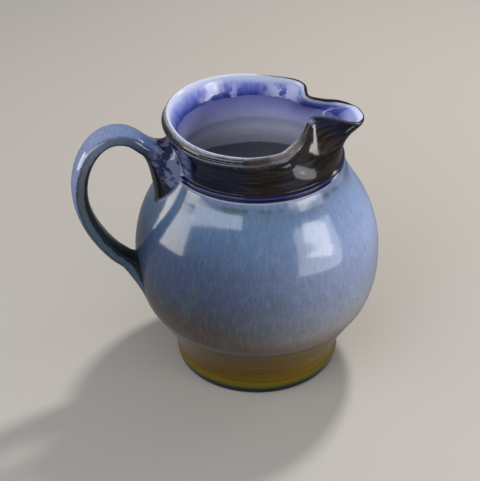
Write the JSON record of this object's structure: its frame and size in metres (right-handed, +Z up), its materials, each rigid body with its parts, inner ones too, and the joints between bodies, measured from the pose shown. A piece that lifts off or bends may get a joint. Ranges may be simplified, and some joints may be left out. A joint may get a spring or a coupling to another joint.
{
  "type": "ceramic pitcher",
  "caption": "Round-bellied glazed stoneware pitcher with a collared neck, a pulled pouring lip and a loop handle.",
  "frame": {"origin": "centre of the flat underside, on the axis that the pot was thrown on", "axes": "+Z up, +X towards the pouring lip, -X towards the handle"},
  "size_m": [0.1815, 0.146, 0.1664],
  "materials": {
    "olive_glaze": "thin glossy olive-brown glaze with throwing lines, and bare dark clay under the foot",
    "blue_glaze": "thick glossy milky blue glaze that breaks to brown on edges",
    "dark_glaze": "glossy streaked navy, brown and violet glaze"
  },
  "bodies": {
    "root": {"foot": "olive_glaze", "belly": "blue_glaze", "neck_collar": "dark_glaze", "spout": "dark_glaze", "handle": "blue_glaze", "upper_handle_join": "blue_glaze", "lower_handle_join": "blue_glaze"}
  },
  "joints": []
}
